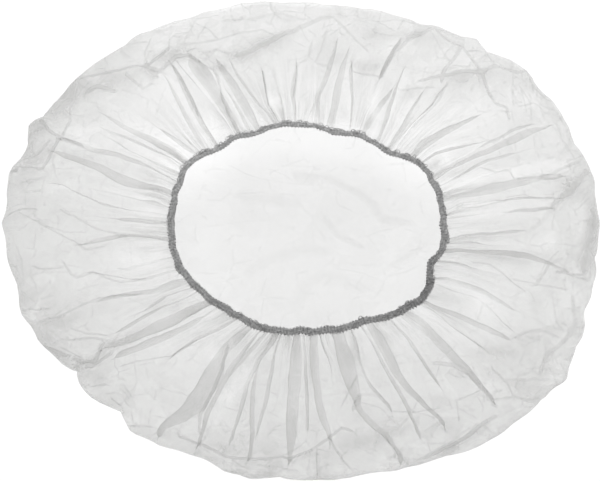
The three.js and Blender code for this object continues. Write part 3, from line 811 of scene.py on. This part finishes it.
# Each point is tested at four places round it, for a softer edge to the tucks
def tuckHaze(points):
    seen = inPicture(points)
    blur = hazeAndPaintedLight["tuckBlur"]
    filmDensity = np.zeros(len(points))
    for amount, corners in hazeAndPaintedLight["tucks"]:
        for aside, along in ((-blur, 0), (blur, 0), (0, -blur), (0, blur)):
            filmDensity += amount / 4 * insideTuck(seen + (aside, along), corners)
    for x, y, length, breadth, turn, amount in hazeAndPaintedLight["panels"]:
        aside, along = (seen - (x, y)).T
        angle = math.radians(turn)
        lengthwise = (aside * math.cos(angle) + along * math.sin(angle)) / length
        crosswise = (along * math.cos(angle) - aside * math.sin(angle)) / breadth
        filmDensity += hazeAndPaintedLight["panelStrength"] * amount * np.exp(-lengthwise ** 2 - crosswise ** 2)
    return filmDensity


# One edge of each fold is crisp and the other fades out, because it isn't pressed flat
def foldFade(way):
    h = hazeAndPaintedLight
    centre, width = foldsAt(way)
    fade = np.ones(columns)
    for i in range(foldCount):
        start, inwards = i * perFold, foldLean[i]
        crispEnd, softEnd = (0, turnColumns) if inwards > 0 else (turnColumns - 1, -1)
        opening = smooth(*h["edgeWidths"], width[i])
        towardsBack = max(math.sin(math.radians(centre[i])), 0)
        # painted light: folds towards the back are made clearer, as if lit through from behind
        fade[start:start + turnColumns] -= h["foldBackPaintedLight"] * opening * towardsBack
        for k, amount in enumerate(h["crispEdge"]):
            fade[(start + crispEnd + inwards * k) % columns] += (amount - 1) * opening
        for k, amount in enumerate(h["softEdge"]):
            fade[(start + softEnd - inwards * k) % columns] += (amount - 1) * opening
    return fade


def filmHazeAndPaintedLight(points, crownCount):
    h = hazeAndPaintedLight
    crown = slice(0, crownCount)
    inCrown = np.arange(len(points)) < crownCount
    bearing = np.degrees(np.arctan2(points[:, 1], points[:, 0]))
    # painted shade: milkier, so darker, towards the front of the rim
    rim = h["rim"] + h["rimFrontPaintedShade"] * facing(bearing, h["paintedShadeBearing"]) ** h["paintedShadeSpread"]
    reach = rimShare(points)
    nearRim = smooth(1 - h["rimReach"], 1, reach) ** h["rimPower"]
    filmDensity = np.where(inCrown, h["crown"], h["skirt"]) + rim * nearRim
    filmDensity += h["patches"] * noiseRow(points[:, :2] / h["patchScale"], h["patchSeed"])
    # painted sheen: clearer at the back of the mouth
    filmDensity[crown] -= h["backOfCrownPaintedSheen"] * smooth(*h["sheenFrom"], points[crown, 1]) * (1 - nearRim[crown])
    aside = np.abs(points[crown, 0] - capShape["mouthOffset"][0])
    filmDensity[crown] -= h["crownSides"] * (smooth(*h["sidesFrom"], aside) * (1 - smooth(*h["sidesEnd"], aside)))
    rng = np.random.default_rng(h["pleatSeed"])
    pleats = []
    for blur, strength, least, start, full in h["pleats"]:
        tone = np.convolve(rng.normal(0, 1, columns), blur, "same")
        pleats.append((strength * np.clip(tone, least, 1), start, full))
    gathered = np.zeros(len(points))
    filmDensity[crownCount:] += tuckHaze(points[crownCount:])
    for r, way in enumerate(skirtWays):
        row = slice(crownCount + r * columns, crownCount + (r + 1) * columns)
        for tone, start, full in pleats:
            filmDensity[row] += tone * smooth(start, full, way)
        filmDensity[row] *= foldFade(way)
        gathered[row] = smooth(*h["gatheredWays"], way)
    crumpled = np.where(inCrown, h["crumpledCrown"], h["crumpledSkirt"])
    crumpled = crumpled + h["crumpledRim"] * smooth(*h["crumpledFrom"], reach)
    return np.maximum(filmDensity, h["least"]), crumpled, gathered


def meshPiece(name, points, faces):
    mesh = bpy.data.meshes.new(name)
    mesh.from_pydata([tuple(p) for p in points], [], faces)
    mesh.update()
    piece = bpy.data.objects.new(name, mesh)
    bpy.context.scene.collection.objects.link(piece)
    return piece


def selectOnly(piece):
    bpy.ops.object.select_all(action="DESELECT")
    piece.select_set(True)
    bpy.context.view_layer.objects.active = piece


def keepValues(piece, name, values):
    row = piece.data.attributes.new(name, "FLOAT", "POINT")
    row.data.foreach_set("value", np.asarray(values, np.float32))


def makeFilm():
    s = filmShape
    rings, flats, pushes = filmRings()
    counts = [len(r) for r in rings[1:]]
    points, flat, outward = np.concatenate(rings), np.concatenate(flats), np.concatenate(pushes)
    crownCount = 1 + sum(counts[:len(s["crownRings"])])
    inCrown = np.arange(len(points)) < crownCount
    lift, across, broad, weight = creaseFilm(points, outward, crownCount)
    swell = filmSwell(points, inCrown)
    hold = np.ones(len(points))
    hold[-len(s["heldRings"]) * columns:] = np.repeat(s["heldRings"], columns)
    filmDensity, crumpled, gathered = filmHazeAndPaintedLight(points, crownCount)
    reach = rimShare(points)
    start = 1
    for count in counts:
        row = slice(start, start + count)
        if reach[row].min() > creases["evenFrom"]:
            lift[row] = evenRing(lift[row])
        start += count
    points = points + outward * (lift * hold)[:, None]
    points[:, 2] += swell * hold
    points[inCrown, 2] = np.maximum(points[inCrown, 2] + s["thickness"], s["thickness"])
    piece = meshPiece("shower_cap_film", points * mm, filmFaces(counts))
    for k in range(creases["sets"]):
        keepValues(piece, f"creaseAcross{k}", across[k])
        keepValues(piece, f"creaseBreadth{k}", broad[k])
        keepValues(piece, f"creaseWeight{k}", weight[k])
    keepValues(piece, "hazeAndPaintedLight", filmDensity)
    keepValues(piece, "crumpled", crumpled)
    keepValues(piece, "gathered", gathered)
    pattern = piece.data.uv_layers.new(name="flat")
    corners = np.array([loop.vertex_index for loop in piece.data.loops])
    pattern.data.foreach_set("uv", (flat[corners] / s["flatDiameter"] + 0.5).astype(np.float32).ravel())
    selectOnly(piece)
    wall = piece.modifiers.new("wall", "SOLIDIFY")
    wall.thickness = s["thickness"] * mm
    wall.offset = 0
    bpy.ops.object.modifier_apply(modifier="wall")
    bpy.ops.object.shade_smooth()
    print("film:", len(piece.data.polygons), "faces")
    return piece


# Sets a node's inputs, each to a plain value or to another node's output
def fillNode(tree, node, inputs):
    for socket, value in inputs.items():
        if isinstance(value, bpy.types.NodeSocket):
            tree.links.new(value, node.inputs[socket])
        else:
            node.inputs[socket].default_value = value


def addNode(tree, kind, inputs, **settings):
    node = tree.nodes.new("ShaderNode" + kind)
    for name, value in settings.items():
        setattr(node, name, value)
    fillNode(tree, node, inputs)
    return node


def addNoise(tree, place, scale, detail, **settings):
    inputs = {"Vector": place, "Scale": scale, "Detail": detail}
    return addNode(tree, "TexNoise", inputs, **settings).outputs


def addBump(tree, strength, depth, height):
    inputs = {"Strength": strength, "Distance": depth * mm, "Height": height}
    return addNode(tree, "Bump", inputs).outputs["Normal"]


def storedValue(tree, name):
    return addNode(tree, "Attribute", {}, attribute_name=name).outputs["Fac"]


def newFinish(name):
    material = bpy.data.materials.new(name)
    material.use_nodes = True
    return material, material.node_tree


def shade(tree, inputs):
    fillNode(tree, tree.nodes["Principled BSDF"], inputs)


# Milky clear film: denser where it is seen along its face, at creases and in its small crinkles, with
# painted shade on its facets and the painted light and shade carried in its haze
filmFinish = {
    "colour": (0.47, 0.47, 0.462), "roughness": 0.36,
    "faceOn": 0.147, "edgeOn": 0.27, "facingBlend": 0.35, "mostDensity": 0.95,
    "creaseDensity": 0.21, "creaseFade": (0.3, 1.7),  # in half breadths of the crease
    "crinkleScale": 60, "crinkleDetail": 2, "crinkleRise": 1.5, "bumpStrength": 0.7, "bumpDepth": 0.8,
    # scale and contrast, then how close to the elastic the streaks keep
    "streaks": [(1, 2, 1), (2.7, 2.3, 5)], "streakScale": 40, "streakRun": 9, "streakDetail": 3,
    "paintedFacetShade": [(24, 0.34), (58, 0.3)], "facetWarp": 0.01,  # scale and contrast of the painted facet shade
    "lineScale": 30, "lineWidth": 0.06, "lineDensity": 0.12, "linePatches": (0.46, 0.6),
}


def clearFilm():
    f = filmFinish
    material, tree = newFinish("clear_film")
    flat = addNode(tree, "UVMap", {}, uv_map="flat").outputs["UV"]

    def figure(kind, *values):
        return addNode(tree, "Math", dict(enumerate(values)), operation=kind).outputs["Value"]

    def vectorFigure(kind, *values):
        return addNode(tree, "VectorMath", dict(enumerate(values)), operation=kind).outputs

    def spread(value, low, high, toLow, toHigh):
        inputs = {"Value": value, "From Min": low, "From Max": high, "To Min": toLow, "To Max": toHigh}
        return addNode(tree, "MapRange", inputs, interpolation_type="SMOOTHSTEP").outputs["Result"]

    # makes the film more or less milky by a pattern, as far as the pattern has a share there
    def vary(filmDensity, pattern, contrast, share):
        change = figure("MULTIPLY", figure("SUBTRACT", pattern, 0.5), contrast)
        return figure("MULTIPLY", filmDensity, figure("ADD", figure("MULTIPLY", change, share), 1))

    mark = 0
    for k in range(creases["sets"]):
        away = figure("ABSOLUTE", storedValue(tree, f"creaseAcross{k}"))
        breadths = figure("DIVIDE", away, storedValue(tree, f"creaseBreadth{k}"))
        line = spread(breadths, *f["creaseFade"], 1, 0)
        mark = figure("MAXIMUM", figure("MULTIPLY", line, storedValue(tree, f"creaseWeight{k}")), mark)
    crinkle = addNoise(tree, flat, f["crinkleScale"], f["crinkleDetail"])
    height = figure("ADD", figure("MULTIPLY", crinkle["Fac"], f["crinkleRise"]), mark)
    normal = addBump(tree, f["bumpStrength"], f["bumpDepth"], height)
    slant = addNode(tree, "LayerWeight", {"Blend": f["facingBlend"], "Normal": normal}).outputs["Facing"]
    density = addNode(tree, "MapRange", {"Value": slant, "To Min": f["faceOn"], "To Max": f["edgeOn"]})
    # the stored haze also carries painted light and shade
    filmDensity = figure("MULTIPLY", density.outputs["Result"], storedValue(tree, "hazeAndPaintedLight"))

    # fine streaks that run out from the elastic
    offset = vectorFigure("SUBTRACT", flat, (0.5, 0.5, 0))["Vector"]
    plan = addNode(tree, "SeparateXYZ", {"Vector": offset}).outputs
    turn = figure("MULTIPLY", figure("ARCTAN2", plan["Y"], plan["X"]), f["streakScale"])
    run = figure("MULTIPLY", vectorFigure("LENGTH", offset)["Value"], f["streakRun"])
    around = addNode(tree, "CombineXYZ", {"X": turn, "Y": run}).outputs["Vector"]
    gathered = storedValue(tree, "gathered")
    for scale, contrast, closeness in f["streaks"]:
        streaks = addNoise(tree, around, scale, f["streakDetail"], noise_dimensions="2D")
        filmDensity = vary(filmDensity, streaks["Fac"], contrast, figure("POWER", gathered, closeness))

    # painted shade: flat facets, each a little more or less milky than the next, standing in for facets
    # tilted differently to the light, with fine lines between the larger ones
    warped = vectorFigure("MULTIPLY_ADD", crinkle["Color"], [f["facetWarp"]] * 3, flat)["Vector"]

    def cells(scale, feature):
        inputs = {"Vector": warped, "Scale": scale}
        return addNode(tree, "TexVoronoi", inputs, voronoi_dimensions="2D", feature=feature).outputs

    crumpled = storedValue(tree, "crumpled")
    for scale, contrast in f["paintedFacetShade"]:
        tone = addNode(tree, "SeparateColor", {"Color": cells(scale, "F1")["Color"]}).outputs["Red"]
        filmDensity = vary(filmDensity, tone, contrast, crumpled)
    line = spread(cells(f["lineScale"], "DISTANCE_TO_EDGE")["Distance"], 0, f["lineWidth"], 1, 0)
    shown = spread(crinkle["Fac"], *f["linePatches"], 0, f["lineDensity"])
    line = figure("MULTIPLY", figure("MULTIPLY", line, crumpled), shown)
    total = figure("ADD", figure("ADD", filmDensity, line), figure("MULTIPLY", mark, f["creaseDensity"]))
    alpha = figure("MINIMUM", total, f["mostDensity"])
    colour = (*f["colour"], 1)
    shade(tree, {"Base Color": colour, "Roughness": f["roughness"], "Normal": normal, "Alpha": alpha})
    return material


print("film: folding", foldCount, "folds")
film = makeFilm()
film.data.materials.append(clearFilm())
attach(film, "root")
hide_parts("film_cap")
film.visible_shadow = False  # clear film lets nearly all the light through
film.visible_diffuse = False

# The elastic: a core wound round with overlock thread
elastic = {
    "pathSteps": 2400,
    "coreWidth": 1.3, "coreHeight": 1.15, "coreSides": 10, "coreStep": 1.0,
    "pitch": 1.6, "turnSteps": 11, "wraps": (1, -1), "wrapReach": 1.5, "wrapFlatness": 0.86,
    "threadRadius": 0.23, "threadSides": 6, "threadUp": (0.13, 0.31, 0.94),  # a way that no thread runs
    # uneven winding: blur along the thread, effect on its turn and reach, steps between the two
    "unevenBlur": 9, "unevenTurn": 0.5, "unevenReach": 0.1, "unevenShift": 31, "seed": 23,
    "strayLoops": 380, "strayRadius": 0.18, "straySides": 5, "straySteps": 8, "strayReach": 1.45,
    "strayLean": (0.4, np.pi - 0.9), "straySize": (0.5, 1.3), "strayWidth": (0.7, 1.3),
    # the loop is stoutest at its front, and where its ends overlap
    "girth": 1.04, "frontGirth": 0.19, "frontBearing": 265,
    "lapGirth": 0.02, "lapBearing": 326, "lapSpan": 18,
    # size, pace and seed of its lumps, and of its waver up and down and from side to side
    "lumps": (0.22, 15, 5.7), "wobble": (0.5, 9, 2.4), "sway": (1.1, 10, 8.1),
    # one end of the loop runs a little way past where it is sewn down
    "tailFrom": 8, "tailTo": -8, "tailAside": 1.3, "tailLength": 19, "tailGirth": 0.85,
    # painted light: the thread is made paler at the back, where light comes through it; it is also darker
    # where the ends overlap
    "paintedBackLight": 0.33, "paintedLightBearing": 110, "paintedLightSpread": 1.5, "darkLap": 0.26,
    # dark and light tones of the grain
    "coreTones": (0.2, 0.32), "threadTones": (0.22, 0.43), "toneRange": (0.35, 0.68), "roughness": 0.8,
    "grainScale": 900, "grainDetail": 3, "bumpStrength": 0.6, "bumpDepth": 0.15,
}


def lapShare(bearing):
    return np.exp(-(bearingGap(bearing, elastic["lapBearing"]) / elastic["lapSpan"]) ** 2)


def roundNoise(bearing, size, pace, seed):
    return size * noiseRow([(math.cos(p) * pace, math.sin(p) * pace) for p in np.radians(bearing)], seed)


def bandGirth(bearing):
    e = elastic
    girth = e["girth"] + e["frontGirth"] * np.cos(np.radians(bearing - e["frontBearing"]))
    return (girth + e["lapGirth"] * lapShare(bearing)) * (1 + roundNoise(bearing, *e["lumps"]))


def keepBackLightAndLapTone(piece):
    e = elastic
    places = np.array([v.co for v in piece.data.vertices]) / mm
    aside, along = capShape["mouthOffset"]
    bearing = np.degrees(np.arctan2(places[:, 1] - along, places[:, 0] - aside))
    # painted light: paler towards the back of the loop, darker where the ends overlap
    back = facing(bearing, e["paintedLightBearing"]) ** e["paintedLightSpread"]
    keepValues(piece, "backLightAndLapTone", 1 + e["paintedBackLight"] * back - e["darkLap"] * lapShare(bearing))


loopSteps = np.linspace(0, 360, elastic["pathSteps"], endpoint=False)
loopLine = mouthLine(loopSteps)
loopReach = np.concatenate([[0], np.cumsum(np.linalg.norm(np.roll(loopLine, -1, 0) - loopLine, axis=1))])
loopLength = loopReach[-1]


# Bearings of points that lie evenly along the loop
def evenBearings(count):
    return np.interp(np.arange(count) * loopLength / count, loopReach, np.append(loopSteps, 360))


# Directions along a path, level across it and square to both
def pathFrame(ahead):
    ahead = unit(ahead)
    aside = unit(np.cross(ahead, [0, 0, 1]))
    return ahead, aside, np.cross(aside, ahead)


def loopPath(bearing):
    height = capShape["mouthHeight"] + roundNoise(bearing, *elastic["wobble"])
    points = np.column_stack([mouthLine(bearing), height])
    ahead, aside, up = pathFrame(np.roll(points, -1, 0) - np.roll(points, 1, 0))
    return points + aside * roundNoise(bearing, *elastic["sway"])[:, None], ahead, aside, up


def tailPath(count):
    e = elastic
    share = np.linspace(0, 1, count)
    plan = mouthLine(e["tailFrom"] + (e["tailTo"] - e["tailFrom"]) * share, e["tailAside"] * share)
    points = np.column_stack([plan, np.full(count, capShape["mouthHeight"])])
    return points, *pathFrame(np.gradient(points, axis=0))


def loftRings(rings, closed):
    count, sides = rings.shape[:2]
    faces = []
    for i in range(count if closed else count - 1):
        a, b = i * sides, (i + 1) % count * sides
        faces += [(a + k, b + k, b + (k + 1) % sides, a + (k + 1) % sides) for k in range(sides)]
    if not closed:
        last = (count - 1) * sides
        faces += [tuple(range(sides)), tuple(range(last + sides - 1, last - 1, -1))]
    return rings.reshape(-1, 3), faces


def circle(sides):
    turn = 2 * np.pi * np.arange(sides) / sides
    return np.cos(turn)[None, :, None], np.sin(turn)[None, :, None]


def coreTube(centre, aside, up, girth, closed):
    e = elastic
    across, upward = circle(e["coreSides"])
    ring = e["coreWidth"] * across * aside[:, None] + e["coreHeight"] * upward * up[:, None]
    return loftRings(centre[:, None] + girth * ring, closed)


def threadTube(path, sides, radius, closed):
    ahead = np.roll(path, -1, 0) - np.roll(path, 1, 0)
    if not closed:
        ahead[0], ahead[-1] = path[1] - path[0], path[-1] - path[-2]
    ahead = unit(ahead)
    aside = unit(np.cross(ahead, elastic["threadUp"]))
    across, upward = circle(sides)
    ring = across * aside[:, None] + upward * np.cross(aside, ahead)[:, None]
    return loftRings(path[:, None] + radius * ring, closed)


def windingTube(centre, aside, up, angle, reach, closed):
    e = elastic
    swing = np.cos(angle)[:, None] * aside + e["wrapFlatness"] * np.sin(angle)[:, None] * up
    return threadTube(centre + reach * swing, e["threadSides"], e["threadRadius"], closed)


def joinParts(parts):
    points, faces, start = [], [], 0
    for p, f in parts:
        points.append(p)
        faces += [tuple(start + k for k in face) for face in f]
        start += len(p)
    return np.concatenate(points), faces


def makeCore():
    e = elastic
    bearing = evenBearings(round(loopLength / e["coreStep"]))
    centre, _, aside, up = loopPath(bearing)
    loop = coreTube(centre, aside, up, bandGirth(bearing)[:, None, None], True)
    centre, _, aside, up = tailPath(round(e["tailLength"] / e["coreStep"]))
    points, faces = joinParts([loop, coreTube(centre, aside, up, e["tailGirth"], False)])
    return meshPiece("elastic_core", points * mm, faces)


def makeThread():
    e = elastic
    rng = np.random.default_rng(e["seed"])
    turns = round(loopLength / e["pitch"])
    count = turns * e["turnSteps"]
    bearing = evenBearings(count)
    girth = bandGirth(bearing)
    centre, ahead, aside, up = loopPath(bearing)
    parts = []
    blur = e["unevenBlur"]
    for wrap in e["wraps"]:
        jitter = np.repeat(rng.normal(0, 1, turns), e["turnSteps"])
        wrapped = np.concatenate([jitter[-blur:], jitter, jitter[:blur]])
        uneven = np.convolve(wrapped, np.ones(2 * blur + 1) / (2 * blur + 1), "valid")
        angle = wrap * 2 * np.pi * np.arange(count) / e["turnSteps"] + e["unevenTurn"] * uneven
        reach = girth * e["wrapReach"] * (1 + e["unevenReach"] * np.roll(uneven, e["unevenShift"]))
        parts.append(windingTube(centre, aside, up, angle, reach[:, None], True))
    bend = np.linspace(0, np.pi, e["straySteps"])
    for place in rng.integers(0, count, e["strayLoops"]):
        lean = rng.uniform(*e["strayLean"])
        out = math.cos(lean) * aside[place] + math.sin(lean) * up[place]
        size, width = rng.uniform(*e["straySize"]), rng.uniform(*e["strayWidth"])
        start = centre[place] + e["strayReach"] * girth[place] * out
        path = start + np.outer(np.cos(bend) * width, ahead[place]) + np.outer(np.sin(bend) * size, out)
        parts.append(threadTube(path, e["straySides"], e["strayRadius"], False))
    count = round(e["tailLength"] / e["pitch"]) * e["turnSteps"]
    centre, _, aside, up = tailPath(count)
    for wrap in e["wraps"]:
        angle = wrap * 2 * np.pi * np.arange(count) / e["turnSteps"]
        parts.append(windingTube(centre, aside, up, angle, e["tailGirth"] * e["wrapReach"], False))
    points, faces = joinParts(parts)
    return meshPiece("overlock_thread", points * mm, faces)


def greyThread(name, tones):
    e = elastic
    material, tree = newFinish(name)
    place = addNode(tree, "TexCoord", {}).outputs["Object"]
    grain = addNoise(tree, place, e["grainScale"], e["grainDetail"])["Fac"]
    ramp = addNode(tree, "ValToRGB", {"Fac": grain})
    for element, position, tone in zip(ramp.color_ramp.elements, e["toneRange"], tones):
        element.position = position
        element.color = (tone, tone, tone, 1)
    # painted light from the back, with the darker overlap of the ends
    inputs = {0: ramp.outputs["Color"], "Scale": storedValue(tree, "backLightAndLapTone")}
    colour = addNode(tree, "VectorMath", inputs, operation="SCALE").outputs["Vector"]
    normal = addBump(tree, e["bumpStrength"], e["bumpDepth"], grain)
    shade(tree, {"Base Color": colour, "Roughness": e["roughness"], "Normal": normal})
    return material


print("elastic: core and thread")
core, thread = makeCore(), makeThread()
coreFinish = greyThread("grey_core", elastic["coreTones"])
threadFinish = greyThread("grey_thread", elastic["threadTones"])
for piece, finish in ((core, coreFinish), (thread, threadFinish)):
    piece.data.materials.append(finish)
    keepBackLightAndLapTone(piece)
    selectOnly(piece)
    bpy.ops.object.shade_smooth()
    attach(piece, "root")
    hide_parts("elastic_band")

# Floor, light and camera, in metres
studio = {
    "floorSize": 8, "floorTone": 0.93, "floorRoughness": 0.9, "skyStrength": 0.9, "clearLayers": 64,
    "lampPlace": (0.1, 0.9, 1.4), "lampSize": 2.0, "lampPower": 12,
}
print("studio: floor, light and camera")
bpy.ops.mesh.primitive_plane_add(size=studio["floorSize"])
floor = bpy.context.active_object
floor.name = "floor"
paper, paperTree = newFinish("pale_floor")
shade(paperTree, {"Base Color": (*[studio["floorTone"]] * 3, 1), "Roughness": studio["floorRoughness"]})
floor.data.materials.append(paper)

scene = bpy.context.scene
scene.view_settings.view_transform = "Standard"
scene.cycles.transparent_max_bounces = studio["clearLayers"]
world = bpy.data.worlds.new("studio")
world.use_nodes = True
sky = world.node_tree.nodes["Background"]
fillNode(world.node_tree, sky, {"Color": (1, 1, 1, 1), "Strength": studio["skyStrength"]})
scene.world = world

bpy.ops.object.light_add(type="AREA", location=studio["lampPlace"])
lamp = bpy.context.active_object
lamp.name = "back_light"
lamp.data.size = studio["lampSize"]
lamp.data.energy = studio["lampPower"]
lamp.rotation_euler = (-Vector(studio["lampPlace"])).to_track_quat("-Z", "Y").to_euler()

bpy.ops.object.camera_add(location=Vector(eye) * mm)
camera = bpy.context.active_object
camera.rotation_euler = Vector(-viewBack).to_track_quat("-Z", "Y").to_euler()
camera.data.lens = view["lens"]
camera.data.sensor_width = view["sensor"]
scene.camera = camera
